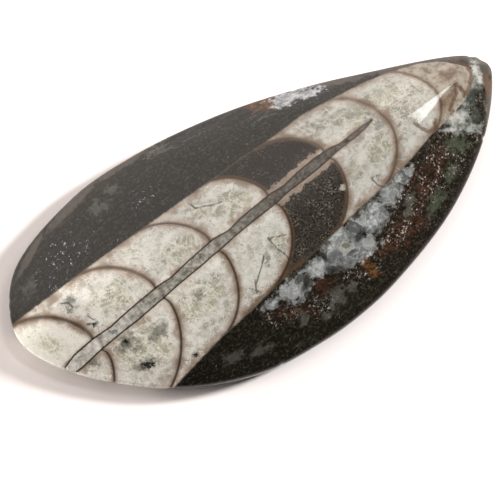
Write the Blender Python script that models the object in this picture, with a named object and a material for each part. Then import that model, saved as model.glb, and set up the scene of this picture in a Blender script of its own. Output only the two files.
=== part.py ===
"""A polished orthoceras fossil: one leaf-shaped stone with a flat underside and a domed crown.

Metres, +Z up. The origin lies on the flat underside, below the middle of the stone's length and
width. +X runs along the stone to its narrow end, where the shell inside it also comes to a point.
"""

import math

import bpy
from mathutils import Vector

MM = 0.001

# The stone's edge seen from above, anticlockwise from its blunt end, in millimetres.
EDGE_POINTS = [
    (-36.0, 3.6),
    (-33.2, -2.7),
    (-21.9, -12.4),
    (-10.9, -16.5),
    (-1.1, -16.9),
    (5.0, -16.2),
    (10.6, -14.8),
    (21.6, -10.3),
    (30.4, -4.0),
    (35.0, 1.6),
    (36.0, 4.0),
    (34.7, 6.3),
    (19.8, 11.9),
    (8.3, 15.0),
    (-1.0, 16.5),
    (-11.4, 17.0),
    (-20.9, 16.0),
    (-32.4, 11.0),
]
BLUNT_END = 0
NARROW_END = 10
STEPS_PER_SPAN = 48
SIDE_STEPS = 80

# Heights above the underside.
CREST_HEIGHT = 9.0 * MM
CREST_DROP_BLUNT = 1.4 * MM
CREST_DROP_NARROW = 3.7 * MM
RIM_TOP = 2.5 * MM
RIM_BOTTOM = 1.3 * MM
FOOT_INSET = 1.5 * MM
FOOT_ROUND = 0.35 * MM
RIM_ROUND = 0.18 * MM

# The line that the crown rises to, which curves with the leaf.
CREST_BLUNT_X = -26.0 * MM
CREST_NARROW_X = 31.0 * MM
CREST_TOP_X = -6.0 * MM
CREST_BLUNT_Y = 2.4 * MM
CREST_NARROW_Y = 3.9 * MM
CREST_BEND = 1.3

# The bevel that was ground round the crown's edge, wider on the far side.
BEVEL_WIDTH = 0.9 * MM
BEVEL_WIDTH_FAR = 3.0 * MM
BEVEL_FAR_X = 6.0 * MM
BEVEL_FAR_REACH = 15.0 * MM
BEVEL_RISE = 0.8

# How round the crown is across: 2 is a full curve, and nearer 1 leaves a ridge along the crest.
CROWN_POWER = 2.1
RIDGE_POWER = 1.45
CROWN_RINGS = 10

STONE_COLOUR = (0.055, 0.050, 0.044, 1.0)
STONE_ROUGHNESS = 0.16


def remove_everything():
    for obj in list(bpy.data.objects):
        bpy.data.objects.remove(obj, do_unlink=True)


def curve_span(before, start, end, after, steps):
    """Points from start towards end on the smooth curve through all four points."""
    t0 = 0.0
    t1 = t0 + math.sqrt((start - before).length)
    t2 = t1 + math.sqrt((end - start).length)
    t3 = t2 + math.sqrt((after - end).length)
    points = []
    for step in range(steps):
        t = t1 + (t2 - t1) * step / steps
        a = before.lerp(start, (t - t0) / (t1 - t0))
        b = start.lerp(end, (t - t1) / (t2 - t1))
        c = end.lerp(after, (t - t2) / (t3 - t2))
        d = a.lerp(b, (t - t0) / (t2 - t0))
        e = b.lerp(c, (t - t1) / (t3 - t1))
        points.append(d.lerp(e, (t - t1) / (t2 - t1)))
    return points


def edge_side(first, last):
    """The edge from one named edge point on to another, as a dense run of points."""
    knots = [Vector(point) * MM for point in EDGE_POINTS]
    count = len(knots)
    run = []
    for i in range(first, last):
        around = [knots[(i + offset) % count] for offset in (-1, 0, 1, 2)]
        run += curve_span(*around, STEPS_PER_SPAN)
    run.append(knots[last % count])
    return run


def evenly_spaced(run, steps):
    """The run walked again in equal steps."""
    travelled = [0.0]
    for a, b in zip(run, run[1:]):
        travelled.append(travelled[-1] + (b - a).length)
    points = []
    i = 0
    for step in range(steps + 1):
        goal = travelled[-1] * step / steps
        while i < len(run) - 2 and travelled[i + 1] < goal:
            i += 1
        part = (goal - travelled[i]) / (travelled[i + 1] - travelled[i])
        points.append(run[i].lerp(run[i + 1], part))
    return points


def crest_height(x):
    """The crest is highest near the middle and falls away to both ends."""
    away = x - CREST_TOP_X
    if away < 0:
        return CREST_HEIGHT - CREST_DROP_BLUNT * (away / (CREST_BLUNT_X - CREST_TOP_X)) ** 2
    return CREST_HEIGHT - CREST_DROP_NARROW * (away / (CREST_NARROW_X - CREST_TOP_X)) ** 2


def crest_point(near, far):
    """The crest's point between two facing points of the edge."""
    half_length = EDGE_POINTS[NARROW_END][0] * MM
    along = (near.x + far.x) / (2 * half_length)
    end_x = CREST_BLUNT_X if along < 0 else CREST_NARROW_X
    end_y = CREST_BLUNT_Y if along < 0 else CREST_NARROW_Y
    x = abs(along) * end_x
    y = abs(along) ** CREST_BEND * end_y
    return Vector((x, y, crest_height(x)))


def bevel_width(edge):
    """The bevel is wider along the middle of the far side."""
    if edge.y < 0:
        return BEVEL_WIDTH
    away = (edge.x - BEVEL_FAR_X) / BEVEL_FAR_REACH
    return BEVEL_WIDTH + (BEVEL_WIDTH_FAR - BEVEL_WIDTH) * math.exp(-away ** 4)


def crown_power(x):
    """The crown is round across the middle and comes to a ridge near the narrow end."""
    share = min(max(x / CREST_NARROW_X, 0.0), 1.0)
    return CROWN_POWER + (RIDGE_POWER - CROWN_POWER) * share


def crown_line(edge, crest):
    """Points from the foot, over the rim and the bevel, up to just short of the crest."""
    flat_crest = crest.to_2d()
    reach = (edge - flat_crest).length
    inward = (flat_crest - edge) / reach
    width = bevel_width(edge)
    bevel_top = RIM_TOP + width * BEVEL_RISE
    places = [
        (FOOT_INSET, 0.0),
        (FOOT_INSET - FOOT_ROUND, FOOT_ROUND * 0.3),
        (RIM_ROUND, RIM_BOTTOM - RIM_ROUND),
        (0.0, RIM_BOTTOM),
        (0.0, RIM_TOP - RIM_ROUND),
        (RIM_ROUND * 0.5, RIM_TOP + RIM_ROUND * 0.3),
    ]
    power = crown_power(crest.x)
    for ring in range(CROWN_RINGS):
        out = 1.0 - ring / CROWN_RINGS
        inset = reach - (reach - width) * out
        dome_top = crest_height(edge.x + inward.x * inset)
        places.append((inset, dome_top - (dome_top - bevel_top) * out ** power))
    return [(*(edge + inward * inset), height) for inset, height in places]


def stone_mesh():
    near_side = evenly_spaced(edge_side(BLUNT_END, NARROW_END), SIDE_STEPS)
    far_side = evenly_spaced(edge_side(NARROW_END, len(EDGE_POINTS)), SIDE_STEPS)
    far_side.reverse()
    crest = [crest_point(near, far) for near, far in zip(near_side, far_side)]

    around = near_side + far_side[-2:0:-1]
    crest_of = list(range(SIDE_STEPS + 1)) + list(range(SIDE_STEPS - 1, 0, -1))
    lines = [crown_line(edge, crest[k]) for edge, k in zip(around, crest_of)]
    rows = len(lines[0])
    count = len(lines)

    vertices = [point for line in lines for point in line]
    vertices += [tuple(point) for point in crest]
    crest_start = rows * count
    faces = []
    for i in range(count):
        j = (i + 1) % count
        for row in range(rows - 1):
            faces.append((i * rows + row, j * rows + row, j * rows + row + 1, i * rows + row + 1))
        top_i = crest_start + crest_of[i]
        top_j = crest_start + crest_of[j]
        faces.append((i * rows + rows - 1, j * rows + rows - 1, top_j, top_i))
    faces += foot_faces(rows, count)

    mesh = bpy.data.meshes.new("stone")
    mesh.from_pydata(vertices, [], faces)
    mesh.validate()
    return mesh


def foot_faces(rows, count):
    """The flat underside, in strips from the near side to the far side."""
    faces = [(rows, 0, (count - 1) * rows)]
    for k in range(1, SIDE_STEPS - 1):
        faces.append(((k + 1) * rows, k * rows, (count - k) * rows, (count - k - 1) * rows))
    last = SIDE_STEPS - 1
    faces.append(((last + 1) * rows, last * rows, (count - last) * rows))
    return faces


def stone_material():
    material = bpy.data.materials.new("polished_limestone")
    material.use_nodes = True
    shader = material.node_tree.nodes["Principled BSDF"]
    shader.inputs["Base Color"].default_value = STONE_COLOUR
    shader.inputs["Roughness"].default_value = STONE_ROUGHNESS
    shader.inputs["Metallic"].default_value = 0.0
    material.diffuse_color = STONE_COLOUR
    return material


def make_stone():
    stone = bpy.data.objects.new("stone", stone_mesh())
    bpy.context.scene.collection.objects.link(stone)
    stone.data.materials.append(stone_material())
    stone.data.shade_smooth()
    return stone


remove_everything()
make_stone()
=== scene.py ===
import math

import bpy
import numpy as np
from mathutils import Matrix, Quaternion, Vector


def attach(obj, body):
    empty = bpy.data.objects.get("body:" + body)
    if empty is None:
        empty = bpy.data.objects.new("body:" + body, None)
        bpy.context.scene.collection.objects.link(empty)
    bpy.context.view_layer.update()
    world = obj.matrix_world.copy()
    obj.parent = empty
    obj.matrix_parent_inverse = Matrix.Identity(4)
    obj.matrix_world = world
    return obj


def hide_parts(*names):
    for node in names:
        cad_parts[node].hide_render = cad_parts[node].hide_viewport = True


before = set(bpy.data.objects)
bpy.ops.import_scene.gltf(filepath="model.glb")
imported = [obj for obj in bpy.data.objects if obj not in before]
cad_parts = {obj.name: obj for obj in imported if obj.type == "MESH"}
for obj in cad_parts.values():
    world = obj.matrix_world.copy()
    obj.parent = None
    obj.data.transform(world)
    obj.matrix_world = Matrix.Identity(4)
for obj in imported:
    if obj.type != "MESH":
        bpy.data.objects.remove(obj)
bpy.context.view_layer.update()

# A polished orthoceras fossil. Lengths are in metres where Blender needs them; the stone's own shape
# and pattern are worked out in millimetres, in the frame's axes, and turned into metres at the end.
MM = 0.001

# ---------------------------------------------------------------- the stone's shape, as in the solids

EDGE_POINTS = [
    (-36.0, 3.6),
    (-33.2, -2.7),
    (-21.9, -12.4),
    (-10.9, -16.5),
    (-1.1, -16.9),
    (5.0, -16.2),
    (10.6, -14.8),
    (21.6, -10.3),
    (30.4, -4.0),
    (35.0, 1.6),
    (36.0, 4.0),
    (34.7, 6.3),
    (19.8, 11.9),
    (8.3, 15.0),
    (-1.0, 16.5),
    (-11.4, 17.0),
    (-20.9, 16.0),
    (-32.4, 11.0),
]
BLUNT_END = 0
NARROW_END = 10
STEPS_PER_SPAN = 48

CREST_HEIGHT = 9.0
CREST_DROP_BLUNT = 1.4
CREST_DROP_NARROW = 3.7
CREST_BLUNT_X = -26.0
CREST_NARROW_X = 31.0
CREST_TOP_X = -6.0
CREST_BLUNT_Y = 2.4
CREST_NARROW_Y = 3.9
CREST_BEND = 1.3
RIM_TOP = 2.5
RIM_BOTTOM = 1.3
FOOT_INSET = 1.5
BEVEL_WIDTH = 0.9
BEVEL_WIDTH_FAR = 3.0
BEVEL_FAR_X = 6.0
BEVEL_FAR_REACH = 15.0
BEVEL_RISE = 0.8
CROWN_POWER = 2.1
RIDGE_POWER = 1.45

# Finer than the solids: steps along each side, and rows from the underside's middle to the crest.
SIDE_STEPS = 400
UNDERSIDE_ROWS = 16
CORNER_ROWS = 5
BEVEL_ROWS = 8
CROWN_ROWS = 66
CORNER_ROUND = 0.3
CREASE_SOFTNESS = 0.12

# Small chips along the rim: x, y, how far each reaches along the rim, and how deep it is.
RIM_CHIPS = [
    (30.3, -4.1, 0.45, 0.16),
    (35.6, 5.2, 0.9, 0.16),
    (34.6, 6.4, 0.7, 0.14),
    (-34.5, 8.2, 0.6, 0.06),
    (-35.2, 6.9, 0.5, 0.07),
    (-31.9, -4.4, 0.5, 0.15),
    (-8.0, -16.9, 0.5, 0.10),
    (12.0, 14.1, 0.5, 0.08),
]


def curve_span(before, start, end, after):
    """Points from start towards end on the smooth curve through all four points."""
    t1 = math.sqrt(np.linalg.norm(start - before))
    t2 = t1 + math.sqrt(np.linalg.norm(end - start))
    t3 = t2 + math.sqrt(np.linalg.norm(after - end))
    t = np.linspace(t1, t2, STEPS_PER_SPAN, endpoint=False)[:, None]
    a = before + (start - before) * t / t1
    b = start + (end - start) * (t - t1) / (t2 - t1)
    c = end + (after - end) * (t - t2) / (t3 - t2)
    d = a + (b - a) * t / t2
    e = b + (c - b) * (t - t1) / (t3 - t1)
    return d + (e - d) * (t - t1) / (t2 - t1)


def edge_side(first, last):
    """The edge between two of the edge points, in equal steps."""
    knots = np.array(EDGE_POINTS)
    count = len(knots)
    spans = [curve_span(*(knots[(i + k) % count] for k in (-1, 0, 1, 2))) for i in range(first, last)]
    run = np.concatenate(spans + [knots[last % count][None]])
    travelled = np.concatenate([[0.0], np.cumsum(np.linalg.norm(np.diff(run, axis=0), axis=1))])
    goals = np.linspace(0.0, travelled[-1], SIDE_STEPS + 1)
    return np.stack([np.interp(goals, travelled, run[:, axis]) for axis in (0, 1)], axis=1)


def crest_height(x):
    away = x - CREST_TOP_X
    blunt = CREST_DROP_BLUNT * (away / (CREST_BLUNT_X - CREST_TOP_X)) ** 2
    narrow = CREST_DROP_NARROW * (away / (CREST_NARROW_X - CREST_TOP_X)) ** 2
    return CREST_HEIGHT - np.where(away < 0, blunt, narrow)


def crest_line(near, far):
    """The crest's points between the facing points of the edge's two sides."""
    along = (near[:, 0] + far[:, 0]) / (2 * EDGE_POINTS[NARROW_END][0])
    end_x = np.where(along < 0, CREST_BLUNT_X, CREST_NARROW_X)
    end_y = np.where(along < 0, CREST_BLUNT_Y, CREST_NARROW_Y)
    return np.stack([np.abs(along) * end_x, np.abs(along) ** CREST_BEND * end_y], axis=1)


def bevel_width(edge):
    away = (edge[:, 0] - BEVEL_FAR_X) / BEVEL_FAR_REACH
    far = BEVEL_WIDTH + (BEVEL_WIDTH_FAR - BEVEL_WIDTH) * np.exp(-away ** 4)
    return np.where(edge[:, 1] < 0, BEVEL_WIDTH, far)


def soft_min(a, b, softness):
    """The smaller of a and b, rounded where they meet."""
    return 0.5 * (a + b - np.sqrt((a - b) ** 2 + softness ** 2))


def polish_waves(x, y):
    """Hand polishing leaves the crown very slightly uneven."""
    waves = np.sin(x * 0.52 + 1.1) * np.cos(y * 0.61 - 0.4)
    waves += 0.6 * np.sin(x * 0.31 - y * 0.83 + 2.0)
    waves += 0.35 * np.sin(x * 1.13 + y * 0.47)
    return 0.022 * waves


def rounded_corner(before, corner, after, round_by):
    """Inset and height pairs round a corner of the stone's section."""
    before, corner, after = (np.array(point, dtype=float) for point in (before, corner, after))
    start = corner + (before - corner) * round_by / np.linalg.norm(before - corner)
    end = corner + (after - corner) * round_by / np.linalg.norm(after - corner)
    rows = []
    for t in np.linspace(0.0, 1.0, CORNER_ROWS):
        rows.append((1 - t) ** 2 * start + 2 * t * (1 - t) * corner + t ** 2 * end)
    return rows


def section_rows(edge, crest):
    """Rows of (x, y, z) from the foot over the rim and the crown, up to just short of the crest."""
    reach = np.linalg.norm(crest - edge, axis=1)
    inward = (crest - edge) / reach[:, None]
    width = bevel_width(edge)
    bevel_top = RIM_TOP + width * BEVEL_RISE
    power = CROWN_POWER + (RIDGE_POWER - CROWN_POWER) * np.clip(crest[:, 0] / CREST_NARROW_X, 0, 1)

    rim = rounded_corner((FOOT_INSET + 3, 0), (FOOT_INSET, 0), (0, RIM_BOTTOM), CORNER_ROUND)
    rim += rounded_corner((FOOT_INSET, 0), (0, RIM_BOTTOM), (0, RIM_TOP), CORNER_ROUND)
    rim += rounded_corner((0, RIM_BOTTOM), (0, RIM_TOP), (1, RIM_TOP + BEVEL_RISE), CORNER_ROUND)
    rows = [(np.full_like(reach, inset), np.full_like(reach, height)) for inset, height in rim]

    first_inset = rim[-1][0]
    insets = [first_inset + (width - first_inset) * (k + 1) / (BEVEL_ROWS + 1) for k in range(BEVEL_ROWS)]
    insets += [reach - (reach - width) * (1 - k / CROWN_ROWS) for k in range(CROWN_ROWS)]
    for inset in insets:
        out = (reach - inset) / (reach - width)
        dome_top = crest_height(edge[:, 0] + inward[:, 0] * inset)
        dome = dome_top - (dome_top - bevel_top) * out ** power
        bevel = RIM_TOP + inset * BEVEL_RISE
        softness = CREASE_SOFTNESS * np.clip((inset - first_inset) / 0.5, 0, 1)
        rows.append((inset, soft_min(dome, bevel, softness)))

    points = []
    for inset, height in rows:
        place = edge + inward * inset[:, None]
        risen = np.clip((inset - 0.5) / 2.0, 0, 1) * (height > RIM_TOP)
        height = height + polish_waves(place[:, 0], place[:, 1]) * risen
        points.append(np.column_stack([place, height]))
    return points


def chip_rim(points, edge, inward):
    """Dents the rows of points where small chips have come off the rim."""
    for x, y, reach, depth in RIM_CHIPS:
        near = np.linalg.norm(points[:, :, :2] - (x, y), axis=2)
        share = np.clip(1 - (near / reach) ** 2, 0, 1) ** 2
        points[:, :, :2] += inward[None] * (share * depth)[:, :, None]
    return points


def stone_grid():
    """The stone's vertices as rows round it, with the underside's and the crown's middle lines."""
    near = edge_side(BLUNT_END, NARROW_END)
    far = edge_side(NARROW_END, len(EDGE_POINTS))[::-1]
    middle = crest_line(near, far)
    edge = np.concatenate([near, far[-2:0:-1]])
    station = np.concatenate([np.arange(SIDE_STEPS + 1), np.arange(SIDE_STEPS - 1, 0, -1)])
    crest = middle[station]
    inward = (crest - edge) / np.linalg.norm(crest - edge, axis=1)[:, None]

    upper = section_rows(edge, crest)
    foot = upper[0]
    under = []
    for k in range(1, UNDERSIDE_ROWS):
        share = k / UNDERSIDE_ROWS
        place = crest + (foot[:, :2] - crest) * share
        under.append(np.column_stack([place, np.zeros(len(place))]))
    rows = chip_rim(np.array(under + upper), edge, inward)
    top_z = crest_height(middle[:, 0]) + polish_waves(middle[:, 0], middle[:, 1])
    under_line = np.column_stack([middle, np.zeros(len(middle))])
    crest_points = np.column_stack([middle, top_z])
    return rows, station, under_line, crest_points


def grid_faces(row_count, station, middle_count):
    """Quads between the rows, and from the first and last rows to the two middle lines."""
    count = len(station)
    i = np.arange(count)
    j = (i + 1) % count
    faces = []
    for row in range(row_count - 1):
        low = row * count
        high = low + count
        faces.append(np.column_stack([low + i, low + j, high + j, high + i]))
    under_start = row_count * count
    crest_start = under_start + middle_count
    last = (row_count - 1) * count
    faces.append(np.column_stack([under_start + station[i], under_start + station[j], j, i]))
    faces.append(np.column_stack([last + i, last + j, crest_start + station[j], crest_start + station[i]]))
    return np.concatenate(faces)


# ---------------------------------------------------------------- the pattern in the stone

# The shell's axis seen from above: a point on it and its direction towards the shell's point.
SHELL_CENTRE = (-5.94, 0.27)
SHELL_ANGLE = math.radians(9.72)

# Each septum is a cap from wall to wall: how far along the shell its top is, and how long the cap is
# on its far side and on its near side.
SEPTA = [
    (-31.5, 10.0, 20.0),
    (-21.4, 8.4, 20.9),
    (-11.3, 7.8, 9.0),
    (-2.0, 7.0, 6.9),
    (7.6, 5.8, 8.4),
    (17.0, 6.8, 6.5),
    (25.9, 4.2, 6.5),
    (33.6, 3.0, 4.2),
    (39.3, 3.0, 4.0),
    (48.0, 3.0, 4.0),
]

# The shell's two walls: along, across.
WALL_FAR = [
    (-34.0, 10.3),
    (-28.0, 9.8),
    (-22.0, 8.95),
    (-15.0, 8.45),
    (-8.0, 7.9),
    (0.0, 7.4),
    (7.0, 7.0),
    (13.0, 6.7),
    (18.0, 6.75),
    (22.0, 6.1),
    (27.0, 5.35),
    (31.0, 4.35),
    (35.0, 2.65),
    (38.0, 0.6),
    (40.0, -1.4),
    (42.0, -3.0),
]
WALL_NEAR = [
    (-34.0, -11.0),
    (-17.0, -9.95),
    (-9.0, -9.35),
    (-4.0, -9.25),
    (2.0, -8.75),
    (6.0, -8.75),
    (11.0, -8.35),
    (15.0, -7.95),
    (20.0, -7.65),
    (25.0, -7.05),
    (29.0, -6.2),
    (33.0, -5.8),
    (37.0, -5.0),
    (42.0, -4.0),
]

# The siphuncle: along, its middle's place across, and half its width.
SIPHUNCLE = [
    (-28.0, 0.45, -0.6),
    (-27.4, 0.45, 0.0),
    (-26.8, 0.45, 0.72),
    (-25.0, 0.45, 0.95),
    (-22.0, 0.35, 0.90),
    (-19.2, 0.05, 0.76),
    (-16.0, -0.05, 0.90),
    (-11.5, -0.10, 0.88),
    (-9.3, -0.20, 0.70),
    (-6.0, -0.10, 0.84),
    (-2.0, 0.00, 0.88),
    (0.2, -0.15, 0.62),
    (3.0, 0.00, 0.74),
    (7.5, 0.00, 0.78),
    (9.6, -0.05, 0.55),
    (12.0, 0.05, 0.70),
    (15.0, 0.10, 0.74),
    (17.6, 0.10, 0.55),
    (18.8, -0.05, 0.34),
    (21.5, -0.05, 0.38),
    (23.5, 0.05, 0.26),
    (24.4, 0.08, 0.0),
    (25.2, 0.08, -0.6),
]

# The underside cuts the shell this far below its axis, so it shows a narrower stretch of it.
UNDERSIDE_DEPTH = 7.0
TINY = 1e-9

# The septa bend back towards the blunt end close to the siphuncle.
NECK_BEND = 0.35
NECK_REACH = 0.6

# Patches in the stone, as ovals: x, y, half length, half width, and turn in degrees.
PATCHES = {
    "vein": [
        (-5.8, -10.1, 1.3, 0.6, 0),
        (-3.5, -9.6, 1.4, 0.9, 20),
        (-1.9, -9.8, 2.0, 1.5, 20),
        (1.8, -8.9, 1.9, 1.2, 1),
        (4.6, -8.6, 2.0, 1.0, 10),
        (5.9, -7.1, 2.3, 1.6, 11),
        (5.4, -9.8, 2.6, 1.0, -12),
        (8.4, -9.3, 2.2, 1.3, -7),
        (8.4, -7.1, 2.2, 1.2, 20),
        (11.6, -6.5, 2.5, 1.8, 21),
        (15.0, -5.0, 2.0, 1.3, 30),
        (17.7, -3.8, 1.7, 0.9, 12),
    ],
    "bright": [
        (-5.6, -10.2, 0.9, 0.35, 10),
        (-3.0, -8.9, 0.7, 0.5, 20),
        (-1.6, -10.2, 0.9, 0.7, 15),
        (1.7, -8.8, 1.4, 0.9, 1),
        (4.9, -7.4, 1.0, 0.4, 40),
        (6.1, -6.6, 0.9, 0.5, 30),
        (8.6, -10.5, 0.8, 0.45, -26),
        (11.3, -7.2, 1.1, 0.6, 10),
        (12.2, -5.7, 0.9, 0.5, 25),
        (17.0, -3.9, 0.7, 0.4, 12),
        (19.0, -1.9, 0.35, 0.3, 0),
    ],
    "gap": [
        (3.4, -8.4, 1.2, 0.35, -70),
        (-0.3, -9.8, 1.3, 0.35, 40),
        (0.2, -7.6, 1.2, 0.5, 5),
        (3.7, -10.0, 1.1, 0.45, -26),
        (8.9, -7.9, 0.9, 0.45, 15),
        (9.9, -5.2, 0.8, 0.35, 50),
        (13.3, -4.3, 0.9, 0.5, 40),
    ],
    "olive": [
        (6.6, -8.2, 0.62, 0.33, -26),
    ],
    "rust": [
        (8.1, -11.7, 1.5, 0.8, -80),
        (7.7, 14.1, 2.4, 1.1, -17),
        (0.0, -7.4, 0.8, 0.4, 10),
    ],
    "red": [
        (11.2, -10.6, 3.4, 0.9, -8),
        (14.9, -9.6, 2.7, 1.3, 10),
        (16.6, -9.3, 1.8, 1.1, 40),
        (19.5, -6.7, 2.0, 1.2, 30),
        (22.4, -4.6, 2.4, 1.1, 40),
        (18.4, -4.6, 1.8, 0.7, 30),
        (1.3, -11.2, 1.8, 0.8, -10),
        (-3.4, -12.2, 2.4, 0.8, -20),
        (34.8, 3.4, 0.9, 1.7, -30),
    ],
    "green": [
        (26.3, -3.3, 1.3, 1.0, -24),
        (20.0, -8.6, 1.6, 0.7, 30),
        (24.0, -6.2, 1.3, 0.6, 40),
    ],
    "tip": [
        (28.3, -0.5, 2.1, 1.4, -5),
        (28.6, -2.0, 2.2, 0.7, -19),
        (27.2, 1.0, 1.0, 0.7, 60),
        (30.2, 0.9, 1.2, 0.8, 30),
        (33.0, 3.3, 1.5, 0.8, 50),
        (34.4, 4.9, 1.0, 0.5, 60),
    ],
    "tip_bright": [
        (28.3, -0.2, 1.3, 0.8, -9),
        (26.6, -1.4, 1.4, 0.25, -21),
        (33.8, 4.0, 1.9, 0.6, 78),
    ],
    "tip_dark": [
        (31.1, 0.9, 0.8, 0.9, -23),
        (35.0, 3.9, 0.6, 0.6, -18),
        (32.1, 1.7, 0.7, 0.4, -22),
        (30.6, -1.2, 0.9, 0.8, 30),
    ],
    "brown": [
        (30.0, 5.1, 1.6, 1.0, -7),
        (27.6, 2.0, 0.9, 1.5, -45),
    ],
    "crystal": [
        (-22.9, 0.8, 2.6, 1.4, -11),
        (-12.6, 1.4, 2.4, 1.7, -5),
        (-3.9, 3.8, 2.2, 1.1, -4),
        (-7.7, 4.6, 0.8, 0.7, -31),
        (-13.3, -5.0, 2.4, 1.6, 19),
        (-32.8, 0.2, 1.7, 0.8, -55),
        (-22.2, -6.4, 3.3, 1.8, -12),
        (-18.0, 4.4, 0.9, 0.5, -32),
        (16.1, 6.3, 2.2, 1.1, -14),
        (16.7, 0.7, 1.6, 1.2, 31),
        (12.8, -0.4, 1.3, 0.9, 2),
        (22.6, 6.0, 3.5, 1.6, -22),
        (21.6, 2.4, 1.8, 1.3, -7),
        (-1.4, -3.9, 0.9, 1.5, -29),
        (11.0, 7.3, 1.6, 0.7, -9),
    ],
    "white": [
        (-18.7, -6.8, 0.8, 1.5, -58),
        (-16.9, 2.5, 0.5, 1.5, -11),
        (-13.3, 3.7, 0.5, 1.2, -62),
        (-25.8, 0.1, 0.8, 1.1, -2),
        (-17.3, -9.3, 1.2, 0.6, 28),
        (14.1, 0.6, 1.4, 0.5, 31),
        (-26.1, 2.2, 1.0, 0.4, -1),
        (-9.2, -2.0, 1.2, 0.5, 30),
    ],
    "ruddy": [
        (34.4, 2.0, 0.5, 1.8, -18),
        (34.1, 1.4, 0.4, 1.2, -18),
    ],
    "frosted": [
        (-21.2, 15.1, 4.6, 0.7, 19),
        (-13.1, 16.6, 4.8, 0.6, 3),
        (-29.2, 12.0, 3.2, 0.5, 32),
        (17.5, 12.4, 4.0, 0.9, -19),
        (26.5, 9.7, 9.0, 1.0, -21),
        (34.9, 4.8, 2.9, 0.9, -62),
        (34.2, 0.2, 3.8, 0.9, 53),
    ],
    "smoky": [
        (11.6, 13.2, 3.4, 1.0, -14),
        (10.0, 13.2, 1.8, 1.0, -4),
    ],
    "smudge": [
        (-13.3, -13.2, 1.3, 0.6, -10),
        (-9.5, -14.3, 1.6, 0.4, -5),
        (-18.7, 12.6, 0.5, 1.2, -13),
        (-18.4, 12.4, 1.3, 0.9, -1),
        (-16.0, 14.0, 1.0, 0.7, -12),
        (-8.1, 16.0, 1.6, 0.7, -11),
        (-31.4, 8.2, 1.1, 0.9, 29),
        (2.4, -13.2, 0.9, 1.3, -45),
        (4.4, -12.9, 1.0, 0.5, -8),
        (0.0, -14.6, 0.6, 0.5, -26),
        (-2.8, -13.3, 0.5, 0.9, 0),
        (17.2, -7.0, 1.0, 0.7, 40),
        (16.2, -8.0, 0.8, 0.6, 40),
    ],
    "speckled": [
        (22.0, -5.5, 8.5, 3.2, 33),
        (15.5, -8.0, 6.5, 2.6, 24),
        (8.0, -11.5, 4.5, 1.8, 5),
        (30.0, -1.5, 4.0, 2.8, 50),
        (-5.5, -12.0, 3.5, 1.3, -15),
        (0.0, -13.0, 2.5, 2.0, 0),
        (13.0, -5.5, 3.2, 1.6, 20),
    ],
    "flecked": [
        (-27.0, 9.8, 4.8, 2.0, 25),
        (-28.5, 6.0, 3.2, 2.2, 20),
        (-24.5, 8.5, 3.5, 1.8, 20),
        (-13.0, 10.5, 4.0, 1.2, 10),
    ],
    "grain": [
        (-23.0, -8.4, 1.3, 0.5, -26),
        (-24.3, -4.7, 0.6, 0.45, -31),
        (-23.3, -3.3, 0.4, 0.3, -31),
        (-17.2, -10.7, 0.5, 0.3, -29),
        (-26.6, -1.0, 0.5, 0.25, 31),
        (-19.4, -6.4, 0.6, 0.4, -89),
        (-23.4, -6.3, 0.8, 0.4, -31),
        (-27.8, 3.4, 0.6, 0.5, -34),
        (-28.6, 2.4, 0.6, 0.4, 40),
        (-3.3, -4.9, 0.35, 0.8, -20),
        (4.9, -2.9, 0.6, 0.3, 1),
        (17.6, 4.8, 0.6, 0.45, -31),
        (18.5, 3.4, 0.6, 0.45, -30),
        (16.4, 6.4, 1.0, 0.35, -10),
        (13.9, 6.4, 0.8, 0.25, 10),
        (-13.3, -4.6, 0.7, 0.5, 30),
        (-14.2, -0.9, 0.8, 0.25, 35),
    ],
    "dim": [
        (-24.2, -5.0, 1.4, 0.9, 12),
        (-20.2, -5.8, 1.6, 0.6, 23),
        (-29.1, -4.5, 1.3, 0.5, -59),
        (-23.7, -8.4, 1.2, 0.5, -12),
        (-28.2, 3.2, 0.9, 0.5, -3),
        (18.4, 5.3, 1.0, 0.4, -70),
        (18.3, 3.5, 0.4, 0.7, -30),
        (11.6, 7.0, 0.7, 0.3, -20),
    ],
    "dark_spot": [
        (-23.2, -8.5, 0.75, 0.35, -26),
        (-24.3, -4.7, 0.3, 0.25, -31),
        (-23.3, -3.3, 0.22, 0.18, -31),
        (-26.8, -0.9, 0.25, 0.15, 31),
        (-17.2, -10.7, 0.35, 0.2, -29),
        (17.8, 4.5, 0.25, 0.2, -31),
    ],
    "light_spot": [
        (9.9, 3.9, 0.35, 0.3, 0),
        (10.0, -1.6, 0.5, 0.35, 20),
        (12.6, -0.6, 0.5, 0.3, 20),
    ],
}

# Fine cracks and arcs in the shell's calcite, as runs of (x, y).
CRACKS = [
    [(-8.2, 6.3), (-8.0, 5.5), (-7.0, 5.2), (-5.8, 4.7), (-4.6, 4.5)],
    [(-1.9, -2.7), (-1.5, -4.4), (-1.0, -5.5), (-0.8, -6.5)],
    [(-1.9, -2.7), (-0.6, -3.1), (1.2, -3.6)],
    [(-6.0, -6.9), (-4.2, -5.2), (-3.5, -4.4)],
    [(-7.3, -6.9), (-6.0, -8.2)],
    [(-6.0, -6.5), (-6.6, -8.0)],
    [(13.9, -2.4), (14.2, -3.4), (14.9, -4.1), (16.1, -3.9)],
    [(13.9, -2.2), (15.1, -2.4)],
    [(-29.0, 3.6), (-28.2, 3.2), (-28.0, 2.3)],
    [(-27.4, -0.4), (-26.4, -0.9)],
    [(-26.9, 0.5), (-26.4, -0.4)],
]
BROWN_ARCS = [
    [(22.7, 1.3), (23.1, 0.3), (23.8, -0.5), (24.9, -0.4), (25.4, 0.6)],
    [(30.2, 3.5), (29.3, 2.1), (27.8, 0.9)],
    [(30.3, 3.3), (31.0, 1.8)],
    [(32.2, 6.5), (33.1, 5.3), (32.9, 3.8), (32.0, 2.5), (30.4, 1.6)],
]
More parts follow.
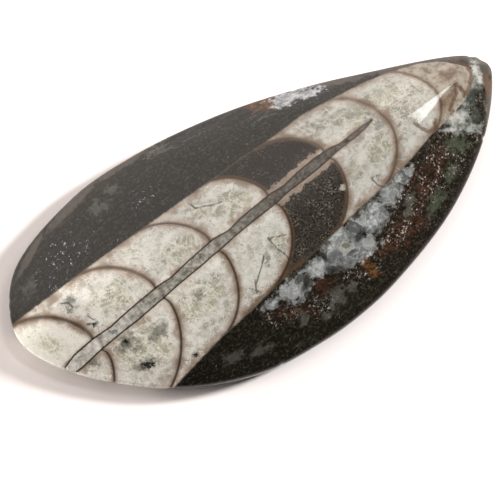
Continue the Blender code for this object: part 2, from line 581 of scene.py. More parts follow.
SCRATCHES = [
    [(-27.2, 5.6), (-26.4, 6.8), (-25.7, 7.8)],
    [(-10.2, 15.7), (-8.0, 16.1), (-5.9, 15.9)],
    [(-3.4, 16.0), (-2.2, 15.9)],
    [(-4.5, 15.0), (-1.7, 14.9), (0.8, 14.3)],
    [(4.6, 13.3), (6.4, 13.2), (8.2, 12.5)],
    [(4.2, 12.2), (6.0, 12.4), (7.9, 12.0)],
]


def along_shell(x, y):
    """Places on the stone as (along, across) the shell."""
    dx = x - SHELL_CENTRE[0]
    dy = y - SHELL_CENTRE[1]
    c = math.cos(SHELL_ANGLE)
    s = math.sin(SHELL_ANGLE)
    return dx * c + dy * s, dy * c - dx * s


def round_middle(along, across, depth):
    """The shell's half width, and a place's distance from its middle and share of the far side."""
    far = line_field(WALL_FAR, along)
    near = line_field(WALL_NEAR, along)
    offset = across - (far + near) / 2
    distance = np.hypot(offset, depth)
    far_share = 0.5 + 0.5 * offset / np.maximum(distance, TINY)
    return (far - near) / 2, distance, far_share


def line_field(line, along, column=1):
    table = np.array(line)
    return np.interp(along, table[:, 0], table[:, column])


def septum_distance(septum, along, place, far_share, half):
    """How far beyond a septum a point lies, in mm; below 0 behind it. place is 0 to 1 outwards."""
    top, far_length, near_length = septum
    length = near_length + (far_length - near_length) * far_share
    past_foot = along - (top - length)
    ahead = np.maximum(past_foot, 0) / length
    out = np.hypot(ahead, place)
    slope = np.hypot(ahead / length, place / half)
    distance = (out - 1) * out / np.maximum(slope, 0.02)
    return np.where(past_foot < 0, -np.hypot(distance, past_foot), distance)


def chamber_field(along, across, depth):
    """Rises by 1 from each septum to the next; and how far apart those two are there, in mm."""
    tube_gap = np.hypot(across - line_field(SIPHUNCLE, along), depth) - line_field(SIPHUNCLE, along, 2)
    along = along + NECK_BEND * np.exp(-np.maximum(tube_gap, 0) / NECK_REACH)
    half, distance, far_share = round_middle(along, across, depth)
    place = np.minimum(distance / half, 0.98)
    beyond = [septum_distance(septum, along, place, far_share, half) for septum in SEPTA]
    field = np.full_like(along, -0.5)
    gap = np.full_like(along, 9.0)
    for k in range(len(SEPTA) - 1):
        span = np.maximum(beyond[k] - beyond[k + 1], 0.5)
        reached = beyond[k] >= 0
        field = np.where(reached, k + np.clip(beyond[k] / span, 0, 0.999), field)
        gap = np.where(reached, span, gap)
    return field, gap


def patch_field(x, y, ovals):
    """1 in the middle of any of the ovals, 0 on their edges, and less than 0 outside them."""
    best = np.full_like(x, -1.0)
    for centre_x, centre_y, long, short, turn in ovals:
        c = math.cos(math.radians(turn))
        s = math.sin(math.radians(turn))
        dx = x - centre_x
        dy = y - centre_y
        best = np.maximum(best, 1 - np.hypot((dx * c + dy * s) / long, (dy * c - dx * s) / short))
    return best


def run_field(x, y, runs):
    """How far each place lies from the nearest of the runs of straight steps, in mm."""
    nearest = np.full_like(x, 2.0)
    for run in runs:
        for (ax, ay), (bx, by) in zip(run, run[1:]):
            length = math.hypot(bx - ax, by - ay)
            t = np.clip(((x - ax) * (bx - ax) + (y - ay) * (by - ay)) / length ** 2, 0, 1)
            nearest = np.minimum(nearest, np.hypot(x - ax - t * (bx - ax), y - ay - t * (by - ay)))
    return nearest


def pattern_fields(points):
    """Every field of the pattern, one number per vertex."""
    x, y, z = points.T
    along, across = along_shell(x, y)
    below = np.clip(1 - z / RIM_TOP, 0, 1)
    depth = UNDERSIDE_DEPTH * below
    chamber, span = chamber_field(along, across, depth)
    half, distance, _ = round_middle(along, across, depth)
    fields = {
        "chamber": chamber,
        "span": span,
        "wall": half - distance,
        "near_wall": across - line_field(WALL_NEAR, along),
        "tube_across": across - line_field(SIPHUNCLE, along),
        "tube_half": line_field(SIPHUNCLE, along, 2) - depth,
        "along": along,
        "across": across,
        "below": below,
        "crack": run_field(x, y, CRACKS) + below,
        "arc": run_field(x, y, BROWN_ARCS) + below,
        "scratch": run_field(x, y, SCRATCHES) + below,
    }
    for name, ovals in PATCHES.items():
        fields[name] = patch_field(x, y, ovals)
    return fields


def make_stone():
    rows, station, under_line, crest_points = stone_grid()
    points = np.concatenate([rows.reshape(-1, 3), under_line, crest_points])
    faces = grid_faces(len(rows), station, len(under_line))
    mesh = bpy.data.meshes.new("polished_stone")
    mesh.from_pydata(points * MM, [], faces.tolist())
    for name, values in pattern_fields(points).items():
        mesh.attributes.new(name, "FLOAT", "POINT").data.foreach_set("value", values.astype(np.float32))
    mesh.shade_smooth()
    stone = bpy.data.objects.new("polished_stone", mesh)
    bpy.context.scene.collection.objects.link(stone)
    mesh.materials.append(stone_material())
    return stone


# ---------------------------------------------------------------- materials


class Graph:
    """Short calls for the nodes of one material."""

    def __init__(self, name):
        self.material = bpy.data.materials.new(name)
        self.material.use_nodes = True
        self.nodes = self.material.node_tree.nodes
        self.links = self.material.node_tree.links
        self.shader = self.nodes["Principled BSDF"]

    def set(self, socket, value):
        if isinstance(value, bpy.types.NodeSocket):
            self.links.new(value, socket)
        elif value is not None:
            socket.default_value = value

    def math(self, operation, a, b=None, c=None, clamp=False):
        node = self.nodes.new("ShaderNodeMath")
        node.operation = operation
        node.use_clamp = clamp
        for socket, value in zip(node.inputs, (a, b, c)):
            self.set(socket, value)
        return node.outputs[0]

    def field(self, name):
        node = self.nodes.new("ShaderNodeAttribute")
        node.attribute_name = name
        return node.outputs["Fac"]

    def place(self):
        """Object coordinates in millimetres."""
        coordinates = self.nodes.new("ShaderNodeTexCoord")
        scale = self.nodes.new("ShaderNodeVectorMath")
        scale.operation = "SCALE"
        scale.inputs["Scale"].default_value = 1 / MM
        self.links.new(coordinates.outputs["Object"], scale.inputs[0])
        return scale.outputs[0]

    def noise(self, place, size, detail=2.0, roughness=0.5):
        """Soft noise from 0 to 1, whose blotches are about size millimetres across."""
        node = self.nodes.new("ShaderNodeTexNoise")
        node.inputs["Scale"].default_value = 1 / size
        node.inputs["Detail"].default_value = detail
        node.inputs["Roughness"].default_value = roughness
        self.links.new(place, node.inputs["Vector"])
        return node.outputs["Fac"]

    def cells(self, place, size, output="Distance", feature="F1", randomness=1.0):
        node = self.nodes.new("ShaderNodeTexVoronoi")
        node.feature = feature
        node.inputs["Scale"].default_value = 1 / size
        node.inputs["Randomness"].default_value = randomness
        self.links.new(place, node.inputs["Vector"])
        return node.outputs[output]

    def channel(self, colour, index):
        node = self.nodes.new("ShaderNodeSeparateColor")
        self.links.new(colour, node.inputs["Color"])
        return node.outputs[index]

    def warped(self, place, size, amount):
        """The same place pushed about by noise, so that straight edges wander."""
        noise = self.nodes.new("ShaderNodeTexNoise")
        noise.inputs["Scale"].default_value = 1 / size
        noise.inputs["Detail"].default_value = 3.0
        self.links.new(place, noise.inputs["Vector"])
        push = self.nodes.new("ShaderNodeVectorMath")
        push.operation = "MULTIPLY_ADD"
        push.inputs[1].default_value = (amount, amount, amount)
        self.links.new(noise.outputs["Color"], push.inputs[0])
        self.links.new(place, push.inputs[2])
        return push.outputs[0]

    def turned(self, place, turn, stretch):
        """The place turned about the upright by some of a full turn, then squeezed along one axis."""
        rotate = self.nodes.new("ShaderNodeVectorRotate")
        rotate.rotation_type = "Z_AXIS"
        self.links.new(place, rotate.inputs["Vector"])
        self.set(rotate.inputs["Angle"], self.math("MULTIPLY", turn, math.tau))
        squeeze = self.nodes.new("ShaderNodeVectorMath")
        squeeze.operation = "MULTIPLY"
        squeeze.inputs[1].default_value = (1.0, stretch, 1.0)
        self.links.new(rotate.outputs[0], squeeze.inputs[0])
        return squeeze.outputs[0]

    def scaled(self, colour, factor):
        node = self.nodes.new("ShaderNodeVectorMath")
        node.operation = "SCALE"
        self.links.new(colour, node.inputs[0])
        self.set(node.inputs["Scale"], factor)
        return node.outputs[0]

    def step(self, value, start, end):
        """0 up to start, 1 from end on, smooth between; start may be above end."""
        node = self.nodes.new("ShaderNodeMapRange")
        node.interpolation_type = "SMOOTHSTEP"
        node.inputs["From Min"].default_value = min(start, end)
        node.inputs["From Max"].default_value = max(start, end)
        node.inputs["To Min"].default_value = 0.0 if start < end else 1.0
        node.inputs["To Max"].default_value = 1.0 if start < end else 0.0
        self.set(node.inputs["Value"], value)
        return node.outputs["Result"]

    def mix(self, share, a, b):
        node = self.nodes.new("ShaderNodeMix")
        node.data_type = "RGBA"
        self.set(node.inputs["Factor"], share)
        self.set(node.inputs["A"], a)
        self.set(node.inputs["B"], b)
        return node.outputs["Result"]


def rgb(red, green, blue):
    """A colour given as it looks on a screen, turned to the linear values that shaders take."""
    linear = [((c + 0.055) / 1.055) ** 2.4 if c > 0.04045 else c / 12.92 for c in (red, green, blue)]
    return (*linear, 1.0)


def flip(g, share):
    return g.math("SUBTRACT", 1.0, share)


def both(g, *shares):
    product = shares[0]
    for share in shares[1:]:
        product = g.math("MULTIPLY", product, share)
    return product


def between(g, value, low, high, soft):
    return both(g, g.step(value, low - soft, low + soft), g.step(value, high + soft, high - soft))


def pushed(g, value, noise, amount):
    """The value, moved up and down by noise by as much as half the amount each way."""
    return g.math("MULTIPLY_ADD", g.math("SUBTRACT", noise, 0.5), amount, value)


def lay(g, under, over, *shares):
    """One colour over another, as much as all of the shares multiplied together."""
    return g.mix(both(g, *shares), under, over)


def patch(g, name, noise, fray=1.0, edge=0.15):
    """1 inside the named ovals and 0 outside them, with edges that noise wanders in and out."""
    return g.step(pushed(g, g.field(name), noise, fray), -edge, edge)


def threads(g, noise, width):
    """Fine wandering threads: where noise crosses its middle value."""
    return g.step(g.math("ABSOLUTE", g.math("SUBTRACT", noise, 0.5)), width, 0.0)


def grains(g, place, size, share, radius):
    """Small round grains: a share of the cells of one size, each with a grain of its own."""
    number = g.channel(g.cells(place, size, "Color"), 0)
    return both(g, g.step(number, 1 - share, 1.02 - share), g.step(g.cells(place, size), radius, radius / 2))


def matrix_colour(g, place, ragged, fine_ragged):
    """The black limestone round the shell, with its speckles and stains."""
    broad = g.noise(place, 4.0, 4.0, 0.6)
    fine = g.noise(place, 0.4, 5.0, 0.7)
    far_side = g.step(g.field("across"), -3.0, 4.0)
    near_tone = g.mix(broad, rgb(0.05, 0.04, 0.025), rgb(0.12, 0.105, 0.08))
    far_tone = g.mix(broad, rgb(0.058, 0.057, 0.05), rgb(0.112, 0.11, 0.097))
    colour = g.mix(far_side, near_tone, far_tone)
    colour = lay(g, colour, rgb(0.27, 0.26, 0.23), g.step(fine, 0.47, 0.80))
    colour = lay(g, colour, rgb(0.02, 0.02, 0.02), g.step(fine, 0.45, 0.22))
    streaks = g.noise(g.turned(place, SHELL_ANGLE / -math.tau, 5.0), 3.0, 4.0, 0.65)
    colour = lay(g, colour, rgb(0.27, 0.26, 0.24), g.step(streaks, 0.55, 0.75), 0.5)

    stained = g.mix(g.step(g.noise(place, 0.8, 5.0, 0.7), 0.3, 0.7), rgb(0.08, 0.055, 0.035), rgb(0.27, 0.17, 0.12))
    colour = lay(g, colour, stained, patch(g, "red", ragged, 1.8, 0.9), 0.75)
    greenish = g.mix(fine, rgb(0.13, 0.145, 0.11), rgb(0.31, 0.34, 0.275))
    colour = lay(g, colour, greenish, patch(g, "green", ragged, 2.0, 0.6), 0.8)
    hazy = g.mix(fine, rgb(0.18, 0.18, 0.16), rgb(0.40, 0.40, 0.37))
    colour = lay(g, colour, hazy, patch(g, "smudge", ragged, 2.2, 0.5), 0.6)

    peppered = g.step(g.field("speckled"), -0.15, 0.45)
    clusters = g.step(g.noise(place, 1.4, 4.0, 0.65), 0.42, 0.62)
    crumbs = g.step(g.noise(place, 0.30, 3.0, 0.7), 0.51, 0.63)
    crumb_tone = g.mix(g.step(g.noise(place, 0.5, 3.0), 0.35, 0.65), rgb(0.19, 0.165, 0.14), rgb(0.58, 0.55, 0.51))
    colour = lay(g, colour, crumb_tone, peppered, clusters, crumbs)
    bright = grains(g, g.warped(place, 0.3, 0.25), 0.5, 0.45, 0.30)
    colour = lay(g, colour, rgb(0.66, 0.645, 0.61), peppered, clusters, bright)

    flecked = both(g, g.step(g.field("flecked"), 0.0, 0.5), g.step(g.noise(place, 2.2, 3.0), 0.42, 0.56))
    ragged_place = g.warped(place, 0.35, 0.9)
    large = grains(g, ragged_place, 0.8, 0.5, 0.24)
    small = grains(g, ragged_place, 0.35, 0.3, 0.36)
    colour = lay(g, colour, rgb(0.60, 0.63, 0.66), flecked, g.math("MAXIMUM", large, small))
    return lay(g, colour, rgb(0.46, 0.46, 0.43), grains(g, ragged_place, 1.0, 0.22, 0.14), 0.7)


def stained_edge_colour(g, place, ragged, fine_ragged, under):
    """Rust, smoky calcite and frosting along the far edge, and fine pale scratches."""
    frost = g.mix(g.noise(place, 0.7, 5.0, 0.65), rgb(0.22, 0.205, 0.19), rgb(0.40, 0.375, 0.345))
    colour = lay(g, under, frost, patch(g, "frosted", ragged, 0.8, 0.35), 0.75)
    ruddy = g.mix(g.noise(place, 0.7, 5.0, 0.65), rgb(0.23, 0.175, 0.135), rgb(0.41, 0.335, 0.275))
    colour = lay(g, colour, ruddy, patch(g, "ruddy", ragged, 0.5, 0.2), 0.9)
    rusty = g.mix(g.step(g.noise(place, 0.7, 5.0, 0.7), 0.35, 0.65), rgb(0.13, 0.09, 0.05), rgb(0.40, 0.27, 0.155))
    colour = lay(g, colour, rusty, patch(g, "rust", ragged, 1.4, 0.35), 0.85)
    smoke = g.mix(g.step(g.noise(place, 0.9, 5.0, 0.7), 0.3, 0.65), rgb(0.27, 0.27, 0.27), rgb(0.63, 0.64, 0.65))
    colour = lay(g, colour, smoke, patch(g, "smoky", ragged, 1.2, 0.2))
    near_scratch = g.step(pushed(g, g.field("scratch"), fine_ragged, 0.5), 0.25, 0.0)
    return lay(g, colour, rgb(0.52, 0.52, 0.50), near_scratch, g.step(fine_ragged, 0.4, 0.8))


def vein_colour(g, place, ragged, fine_ragged, under):
    """Blocky bluish white calcite along the shell's near wall."""
    blocky_place = g.warped(place, 0.9, 0.8)
    block = g.channel(g.cells(blocky_place, 1.5, "Color"), 0)
    grain = g.noise(place, 0.45, 5.0, 0.65)
    depth = g.noise(place, 1.6, 4.0, 0.6)
    colour = g.mix(block, rgb(0.26, 0.265, 0.26), rgb(0.51, 0.52, 0.515))
    colour = lay(g, colour, rgb(0.59, 0.60, 0.595), g.step(grain, 0.50, 0.72), 0.5)
    colour = lay(g, colour, rgb(0.19, 0.185, 0.175), g.step(depth, 0.52, 0.70), 0.6)
    seams = g.step(g.cells(blocky_place, 1.5, feature="DISTANCE_TO_EDGE"), 0.10, -0.03)
    colour = lay(g, colour, rgb(0.68, 0.69, 0.68), seams, g.step(depth, 0.60, 0.45), 0.45)
    hoary = g.mix(g.step(grain, 0.38, 0.62), rgb(0.46, 0.47, 0.465), rgb(0.66, 0.67, 0.665))
    colour = lay(g, colour, hoary, patch(g, "bright", fine_ragged, 1.4, 0.5), 0.8)
    colour = lay(g, colour, rgb(0.12, 0.115, 0.105), patch(g, "gap", ragged, 1.6, 0.5), 0.85)
    colour = lay(g, under, colour, patch(g, "vein", ragged, 1.3, 0.3))
    return lay(g, colour, rgb(0.39, 0.385, 0.33), patch(g, "olive", fine_ragged, 0.2, 0.1))


def tip_colour(g, place, ragged, fine_ragged, under):
    """The cloudy, greenish white calcite that is left round the shell's point."""
    cloud = g.noise(place, 1.0, 5.0, 0.65)
    tone = g.mix(g.step(cloud, 0.30, 0.68), rgb(0.16, 0.175, 0.165), rgb(0.53, 0.54, 0.515))
    colour = lay(g, under, tone, patch(g, "tip", ragged, 1.6, 0.45))
    hoary = g.mix(g.step(cloud, 0.34, 0.62), rgb(0.40, 0.41, 0.40), rgb(0.645, 0.64, 0.615))
    colour = lay(g, colour, hoary, patch(g, "tip_bright", ragged, 1.4, 0.5), 0.9)
    return lay(g, colour, rgb(0.21, 0.22, 0.205), patch(g, "tip_dark", ragged, 1.4, 0.6), 0.75)


def calcite_colour(g, place, inward, fine_ragged):
    """One chamber's filling: a smooth pinkish lining along the shell, and cloudy crystals within."""
    cloud = g.noise(place, 2.4, 4.0, 0.5)
    mist = g.noise(place, 0.9, 3.0, 0.45)
    lining = g.mix(g.step(cloud, 0.36, 0.62), rgb(0.57, 0.515, 0.46), rgb(0.715, 0.68, 0.635))
    lining = lay(g, lining, rgb(0.56, 0.51, 0.46), g.step(mist, 0.45, 0.75), 0.5)
    milky = g.mix(g.step(cloud, 0.38, 0.62), rgb(0.575, 0.555, 0.505), rgb(0.72, 0.705, 0.67))
    milky = lay(g, milky, rgb(0.50, 0.485, 0.445), g.step(mist, 0.45, 0.75), 0.6)

    crystal_place = g.warped(place, 1.6, 0.9)
    number = g.cells(crystal_place, 2.2, "Color")
    olive = g.mix(g.channel(number, 0), rgb(0.59, 0.58, 0.505), rgb(0.68, 0.67, 0.60))
    olive = lay(g, olive, rgb(0.55, 0.55, 0.515), g.step(g.channel(number, 1), 0.60, 0.75), 0.6)
    fibres = g.noise(g.turned(place, g.channel(number, 2), 8.0), 2.0, 3.0, 0.5)
    olive = lay(g, olive, rgb(0.79, 0.785, 0.74), g.step(fibres, 0.48, 0.64), 0.65)
    olive = lay(g, olive, rgb(0.44, 0.435, 0.385), g.step(mist, 0.50, 0.75), 0.4)
    seams = pushed(g, g.cells(crystal_place, 2.2, feature="DISTANCE_TO_EDGE"), mist, 0.3)
    olive = lay(g, olive, rgb(0.80, 0.795, 0.76), g.step(seams, 0.15, -0.03), g.step(cloud, 0.36, 0.54), 0.85)

    wander = g.noise(place, 1.9, 3.0, 0.5)
    reach = g.math("ADD", pushed(g, pushed(g, g.field("crystal"), wander, 2.6), mist, 0.30), 0.40)
    core = g.mix(g.step(reach, -0.25, 0.35), milky, olive)
    halo = between(g, reach, -0.85, -0.05, 0.30)
    core = lay(g, core, rgb(0.80, 0.80, 0.77), halo, g.step(mist, 0.25, 0.60), 0.85)
    core = lay(g, core, rgb(0.83, 0.825, 0.795), patch(g, "white", fine_ragged, 1.4, 0.35), 0.7)
    rind = pushed(g, inward, g.noise(place, 1.3, 4.0, 0.5), 3.0)
    colour = g.mix(g.step(rind, 0.4, 1.4), lining, core)

    feathers = threads(g, g.noise(g.warped(place, 0.9, 1.0), 1.9, 5.0, 0.65), 0.04)
    colour = lay(g, colour, rgb(0.83, 0.82, 0.785), feathers, g.step(inward, 0.3, 1.0), 0.7)
    rays = threads(g, g.noise(g.warped(place, 1.6, 0.8), 3.1, 1.0), 0.009)
    colour = lay(g, colour, rgb(0.84, 0.835, 0.80), rays, 0.75)
    cracks = threads(g, g.noise(g.warped(place, 0.7, 0.6), 2.7, 2.0), 0.007)
    colour = lay(g, colour, rgb(0.36, 0.33, 0.29), cracks, g.step(cloud, 0.50, 0.60), 0.6)
    specks = grains(g, g.warped(place, 0.3, 0.3), 0.7, 0.15, 0.16)
    colour = lay(g, colour, rgb(0.25, 0.24, 0.22), specks, 0.65)
    shade = g.step(pushed(g, inward, cloud, 2.6), 0.8, -0.3)
    colour = lay(g, colour, rgb(0.44, 0.37, 0.31), shade, 0.42)
    # Painted light and shade: the calcite is made paler towards the blunt end, partly its own whiter tone and
    # partly painted light where that end's slope gets too little lamp light. It is made darker on the far half and
    # towards the point, which is painted shade taking back lamp light there, and a little darker on the near half
    # by the middle.
    toward_blunt = g.step(g.field("along"), -2.0, -26.0)
    far_half = g.step(g.field("across"), -1.0, 3.0)
    near_half = both(g, g.step(g.field("across"), 1.0, -1.0), g.step(g.field("along"), -6.0, 6.0))
    toward_point = g.step(g.field("along"), 5.0, 16.0)
    tone_and_painted_light = g.math("MULTIPLY_ADD", toward_blunt, 0.56, 0.92)
    tone_and_painted_light = g.math("MULTIPLY_ADD", far_half, -0.20, tone_and_painted_light)
    tone_and_painted_light = g.math("MULTIPLY_ADD", near_half, -0.15, tone_and_painted_light)
    return g.scaled(colour, g.math("MULTIPLY_ADD", toward_point, -0.12, tone_and_painted_light))


def silt_colour(g, place, tube_gap):
    """The chamber that silt filled: nearly black, peppered, and pale only along the siphuncle."""
    pepper = g.noise(place, 0.24, 4.0, 0.7)
    clusters = g.step(g.noise(place, 1.6, 4.0, 0.6), 0.46, 0.62)
    colour = g.mix(g.step(pepper, 0.34, 0.68), rgb(0.11, 0.10, 0.09), rgb(0.24, 0.225, 0.20))
    colour = lay(g, colour, rgb(0.44, 0.41, 0.375), clusters, g.step(pepper, 0.50, 0.64), 0.9)
    colour = lay(g, colour, rgb(0.065, 0.06, 0.05), g.step(g.field("across"), 0.5, 3.0), 0.65)
    frill = pushed(g, tube_gap, g.noise(place, 0.9, 5.0, 0.7), 2.0)
    pink = g.mix(g.noise(place, 0.6, 5.0, 0.65), rgb(0.33, 0.28, 0.24), rgb(0.60, 0.54, 0.49))
    return lay(g, colour, pink, g.step(frill, 0.80, 0.55))


def siphuncle_colour(g, place, tube_gap, neck, under):
    """The tube through the septa: thin dark sides and a mottled grey filling."""
    along = g.field("along")
    mottle = g.noise(place, 0.8, 5.0, 0.7)
    contrast = g.step(mottle, 0.3, 0.7)
    left = g.mix(contrast, rgb(0.68, 0.67, 0.64), rgb(0.94, 0.935, 0.90))
    middle = g.mix(contrast, rgb(0.30, 0.295, 0.27), rgb(0.66, 0.645, 0.605))
    right = g.mix(contrast, rgb(0.13, 0.125, 0.11), rgb(0.37, 0.355, 0.325))
    filling = g.mix(g.step(along, -23.0, -12.0), left, middle)
    filling = g.mix(g.step(along, -6.0, 8.0), filling, right)
    filling = lay(g, filling, rgb(0.15, 0.14, 0.13), g.step(g.noise(place, 1.1, 4.0, 0.6), 0.60, 0.68), 0.6)
    filling = lay(g, filling, rgb(0.25, 0.205, 0.17), neck, 0.5)
    side = g.mix(g.step(along, 15.0, 20.0), rgb(0.085, 0.065, 0.05), rgb(0.24, 0.19, 0.15))
    colour = lay(g, under, side, g.step(tube_gap, 0.10, -0.02), 0.92)
    return lay(g, colour, filling, g.step(tube_gap, -0.10, -0.24))


def septum_colour(g, place, colour, septum, in_shell):
    """A thin dark wall, softer and browner where it is cut aslant near the blunt end."""
    soft = both(g, g.step(g.field("along"), -8.0, -14.0), g.step(g.field("across"), 1.0, 4.0))
    shown = both(g, in_shell, g.step(g.field("chamber"), 7.4, 7.2))
    thin = g.step(septum, 0.25, 0.05)
    wide = g.step(septum, 0.36, 0.05)
    strength = g.math("MULTIPLY_ADD", g.step(g.field("across"), -1.0, 2.0), -0.14, 0.84)
    strength = g.math("MULTIPLY_ADD", g.step(g.field("along"), 12.0, 24.0), -0.30, strength)
    colour = lay(g, colour, rgb(0.37, 0.29, 0.22), shown, g.step(septum, 0.6, 0.1), 0.45)
    colour = lay(g, colour, rgb(0.19, 0.145, 0.105), shown, thin, flip(g, soft), strength)
    return lay(g, colour, rgb(0.29, 0.22, 0.165), shown, wide, soft, 0.75)


def stone_colour(g, place):
    ragged = g.math("MULTIPLY_ADD", g.noise(place, 0.9, 6.0, 0.7), 2.4, -0.7)
    fine_ragged = g.math("MULTIPLY_ADD", g.noise(place, 0.4, 5.0, 0.7), 2.4, -0.7)
    wander = g.math("MULTIPLY", g.math("SUBTRACT", g.noise(place, 0.7, 4.0, 0.6), 0.5), 0.3)
    chamber = g.field("chamber")
    to_point = g.math("MULTIPLY", g.math("SUBTRACT", 8.0, chamber), g.field("span"))
    wall = g.math("ADD", g.math("MINIMUM", g.field("wall"), to_point), wander)
    across_tube = g.math("ABSOLUTE", g.math("MULTIPLY_ADD", wander, 0.5, g.field("tube_across")))
    tube_gap = g.math("SUBTRACT", across_tube, g.field("tube_half"))

    side = g.math("SUBTRACT", g.math("FRACT", g.math("ADD", chamber, 0.5)), 0.5)
    septum = g.math("MULTIPLY", g.math("ABSOLUTE", side), g.field("span"))
    septum = g.math("MULTIPLY_ADD", wander, 0.25, septum)
    inward = g.math("MINIMUM", septum, g.math("MINIMUM", wall, g.math("ADD", tube_gap, 0.35)))
    in_shell = g.step(wall, -0.06, 0.06)

    matrix = matrix_colour(g, place, ragged, fine_ragged)
    matrix = stained_edge_colour(g, place, ragged, fine_ragged, matrix)
    matrix = vein_colour(g, place, ragged, fine_ragged, matrix)
    matrix = tip_colour(g, place, ragged, fine_ragged, matrix)

    calcite = calcite_colour(g, place, inward, fine_ragged)
    # Partly painted light: the first chamber's top, away from the siphuncle, is made about a fifth brighter and
    # whiter between its crystals. This is partly its own whiter calcite and partly painted light where that end
    # gets too little lamp light.
    first = both(g, g.step(chamber, 0.95, 0.90), g.step(g.field("tube_across"), 0.9, 1.2))
    first = both(g, first, g.step(g.field("below"), 1.0, 0.6))
    calcite = g.scaled(calcite, g.math("MULTIPLY_ADD", first, 0.22, 1.0))
    calcite = lay(g, calcite, rgb(0.99, 0.985, 0.94), first, g.step(septum, 0.2, 1.6), flip(g, patch(g, "crystal", fine_ragged, 0.9, 0.3)), 0.6)
    beyond = g.step(chamber, 6.98, 7.02)
    blotch = g.noise(place, 1.5, 6.0, 0.7)
    worn = g.mix(g.step(blotch, 0.32, 0.60), rgb(0.35, 0.305, 0.25), rgb(0.57, 0.54, 0.495))
    browned = g.mix(g.step(blotch, 0.36, 0.66), rgb(0.33, 0.265, 0.205), rgb(0.51, 0.45, 0.385))
    worn = lay(g, worn, browned, patch(g, "brown", ragged, 1.2, 0.5))
    calcite = lay(g, calcite, worn, beyond, 0.92)
    calcite = lay(g, calcite, rgb(0.36, 0.37, 0.35), patch(g, "grain", fine_ragged, 2.4, 0.6), 0.7)
    dim = g.mix(g.step(blotch, 0.40, 0.60), rgb(0.22, 0.225, 0.205), rgb(0.50, 0.495, 0.46))
    calcite = lay(g, calcite, dim, patch(g, "dim", ragged, 1.8, 0.7), 0.75)
    calcite = lay(g, calcite, rgb(0.09, 0.085, 0.075), patch(g, "dark_spot", fine_ragged, 2.4, 0.3), 0.9)

    silt = silt_colour(g, place, tube_gap)
    filling = g.mix(between(g, chamber, 4.0, 4.985, 0.012), calcite, silt)
    filling = lay(g, filling, rgb(0.60, 0.59, 0.55), patch(g, "light_spot", fine_ragged, 1.8, 0.4), 0.9)
    colour = g.mix(in_shell, matrix, filling)

    wall_line = g.step(g.math("ABSOLUTE", wall), 0.22, 0.03)
    colour = lay(g, colour, rgb(0.30, 0.265, 0.21), wall_line, g.step(chamber, 7.5, 6.5), 0.4)
    brown_wall = g.step(pushed(g, g.field("near_wall"), ragged, 0.8), 0.75, 0.25)
    by_vein = between(g, g.field("along"), -6.0, 6.0, 2.0)
    colour = lay(g, colour, rgb(0.30, 0.24, 0.18), in_shell, brown_wall, by_vein, 0.7)
    colour = septum_colour(g, place, colour, septum, in_shell)

    crack = g.step(g.math("ADD", g.field("crack"), wander), 0.17, 0.05)
    colour = lay(g, colour, rgb(0.20, 0.18, 0.155), crack, 0.75)
    arc = g.step(pushed(g, g.field("arc"), ragged, 0.5), 0.42, 0.05)
    colour = lay(g, colour, rgb(0.30, 0.21, 0.145), arc, 0.75)
    neck = between(g, g.math("FRACT", chamber), 0.03, 0.15, 0.06)
    return siphuncle_colour(g, place, tube_gap, neck, colour)


def stone_material():
    g = Graph("polished_fossil_limestone")
    place = g.place()
    g.set(g.shader.inputs["Base Color"], stone_colour(g, place))
    worn = g.step(g.field("along"), 33.0, 40.0)
    gloss = g.math("MULTIPLY_ADD", g.noise(place, 2.5, 4.0), 0.07, 0.015)
    rough = g.math("MAXIMUM", g.math("MULTIPLY", worn, 0.3), g.math("MULTIPLY", g.step(g.field("frosted"), -0.2, 0.2), 0.4))
    g.set(g.shader.inputs["Roughness"], g.math("ADD", gloss, rough))
    g.shader.inputs["IOR"].default_value = 1.52
    bump = g.nodes.new("ShaderNodeBump")
    bump.inputs["Strength"].default_value = 0.25
    bump.inputs["Distance"].default_value = 0.02 * MM
    g.set(bump.inputs["Height"], g.noise(place, 0.5, 4.0, 0.6))
    g.set(g.shader.inputs["Normal"], bump.outputs["Normal"])
    return g.material


# ---------------------------------------------------------------- floor, lights and camera

# The camera looks down on the stone from its near side, turned so that the stone lies slantwise.
CAMERA_ELEVATION = math.radians(78.0)
CAMERA_TURN = math.radians(-30.1)
CAMERA_DISTANCE = 0.400
VIEW_WIDTH = 0.0654
AIM = (-0.00397, -0.00169, 0.0024)


def make_camera():
    camera = bpy.data.objects.new("camera", bpy.data.cameras.new("camera"))
    bpy.context.scene.collection.objects.link(camera)
    away = picture_direction(-90, math.degrees(CAMERA_ELEVATION))
    camera.location = Vector(AIM) + away * CAMERA_DISTANCE
    camera.rotation_euler = away.to_track_quat("Z", "Y").to_euler()
    camera.data.sensor_width = 36.0
    camera.data.lens = 36.0 * CAMERA_DISTANCE / VIEW_WIDTH
    camera.data.clip_start = 0.01
    bpy.context.scene.camera = camera


def picture_direction(right_angle, elevation):
    """A direction given by its angle round the picture, from the right and upwards, and elevation."""
    round_z = math.radians(right_angle) + CAMERA_TURN
    up = math.radians(elevation)
    return Vector((math.cos(up) * math.cos(round_z), math.cos(up) * math.sin(round_z), math.sin(up)))


def make_softbox(name, right_angle, elevation, distance, width, height, radiance, colour, roll=0.0):
    light = bpy.data.lights.new(name, "AREA")
    light.shape = "RECTANGLE"
    light.size = width
    light.size_y = height
    light.energy = radiance * math.pi * width * height
    light.color = colour
    lamp = bpy.data.objects.new(name, light)
    bpy.context.scene.collection.objects.link(lamp)
    away = picture_direction(right_angle, elevation)
    lamp.location = away * distance
    facing = away.to_track_quat("Z", "Y")
    lamp.rotation_euler = (facing @ Quaternion((0, 0, 1), math.radians(roll))).to_euler()
    return lamp


# The room round the stone: dim overhead, bright towards the far left, and pale along the horizon.
ROOM_COLOUR = (1.0, 0.90, 0.84, 1.0)
ROOM_DIM = 0.035
GLOW_ANGLE = 128
GLOW_ELEVATION = 28
GLOW_STRENGTH = 1.2
GLOW_START = 0.35
GLOW_FULL = 0.8
HORIZON_STRENGTH = 0.60
HORIZON_TOP = 0.42
HORIZON_FULL = 0.18


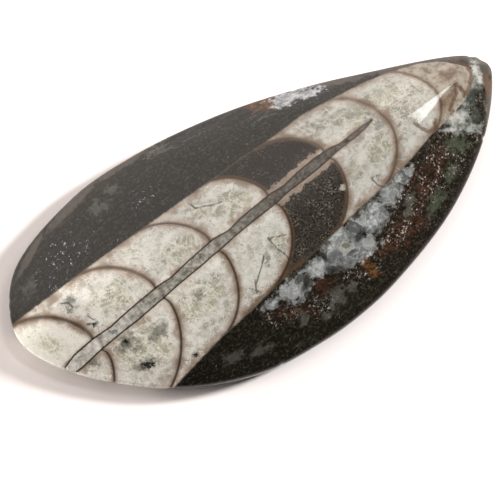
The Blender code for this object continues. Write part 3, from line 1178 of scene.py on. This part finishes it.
def make_world():
    world = bpy.data.worlds.new("studio")
    world.use_nodes = True
    nodes = world.node_tree.nodes
    links = world.node_tree.links

    def strength(value, start, end, most):
        node = nodes.new("ShaderNodeMapRange")
        node.interpolation_type = "SMOOTHSTEP"
        node.inputs["From Min"].default_value = min(start, end)
        node.inputs["From Max"].default_value = max(start, end)
        node.inputs["To Min"].default_value = ROOM_DIM if start < end else most
        node.inputs["To Max"].default_value = most if start < end else ROOM_DIM
        links.new(value, node.inputs["Value"])
        return node.outputs["Result"]

    direction = nodes.new("ShaderNodeTexCoord")
    toward = nodes.new("ShaderNodeVectorMath")
    toward.operation = "DOT_PRODUCT"
    toward.inputs[1].default_value = picture_direction(GLOW_ANGLE, GLOW_ELEVATION)
    links.new(direction.outputs["Generated"], toward.inputs[0])
    height = nodes.new("ShaderNodeSeparateXYZ")
    links.new(direction.outputs["Generated"], height.inputs[0])
    brighter = nodes.new("ShaderNodeMath")
    brighter.operation = "MAXIMUM"
    glow = strength(toward.outputs["Value"], GLOW_START, GLOW_FULL, GLOW_STRENGTH)
    horizon = strength(height.outputs["Z"], HORIZON_TOP, HORIZON_FULL, HORIZON_STRENGTH)
    links.new(glow, brighter.inputs[0])
    links.new(horizon, brighter.inputs[1])
    links.new(brighter.outputs[0], nodes["Background"].inputs["Strength"])
    nodes["Background"].inputs["Color"].default_value = ROOM_COLOUR

    backdrop = nodes.new("ShaderNodeBackground")
    backdrop.inputs["Color"].default_value = (0.95, 0.95, 0.95, 1.0)
    path = nodes.new("ShaderNodeLightPath")
    choice = nodes.new("ShaderNodeMixShader")
    links.new(path.outputs["Is Camera Ray"], choice.inputs["Fac"])
    links.new(nodes["Background"].outputs[0], choice.inputs[1])
    links.new(backdrop.outputs[0], choice.inputs[2])
    links.new(choice.outputs[0], nodes["World Output"].inputs["Surface"])
    bpy.context.scene.world = world


def make_lights():
    key = make_softbox("key_light", 21, 26.5, 0.8, 0.12, 0.12, 232.0, (1.0, 0.99, 0.98))
    key.visible_glossy = False
    make_softbox("softbox", 36, 56, 0.7, 0.30, 0.082, 10.8, (1.0, 0.995, 0.98), 10)
    fill = make_softbox("side_light", 178, 9, 0.8, 0.4, 0.2, 21.0, (1.0, 0.99, 0.965))
    fill.visible_glossy = False
    make_world()


def make_floor():
    bpy.ops.mesh.primitive_plane_add(size=3.0)
    floor = bpy.context.object
    floor.name = "floor"
    g = Graph("pale_paper")
    g.shader.inputs["Base Color"].default_value = (0.94, 0.89, 0.88, 1.0)
    g.shader.inputs["Roughness"].default_value = 0.9
    floor.data.materials.append(g.material)


bpy.context.scene.view_settings.view_transform = "Standard"
make_camera()
make_lights()
make_floor()
stone = make_stone()
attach(stone, "root")
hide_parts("stone")
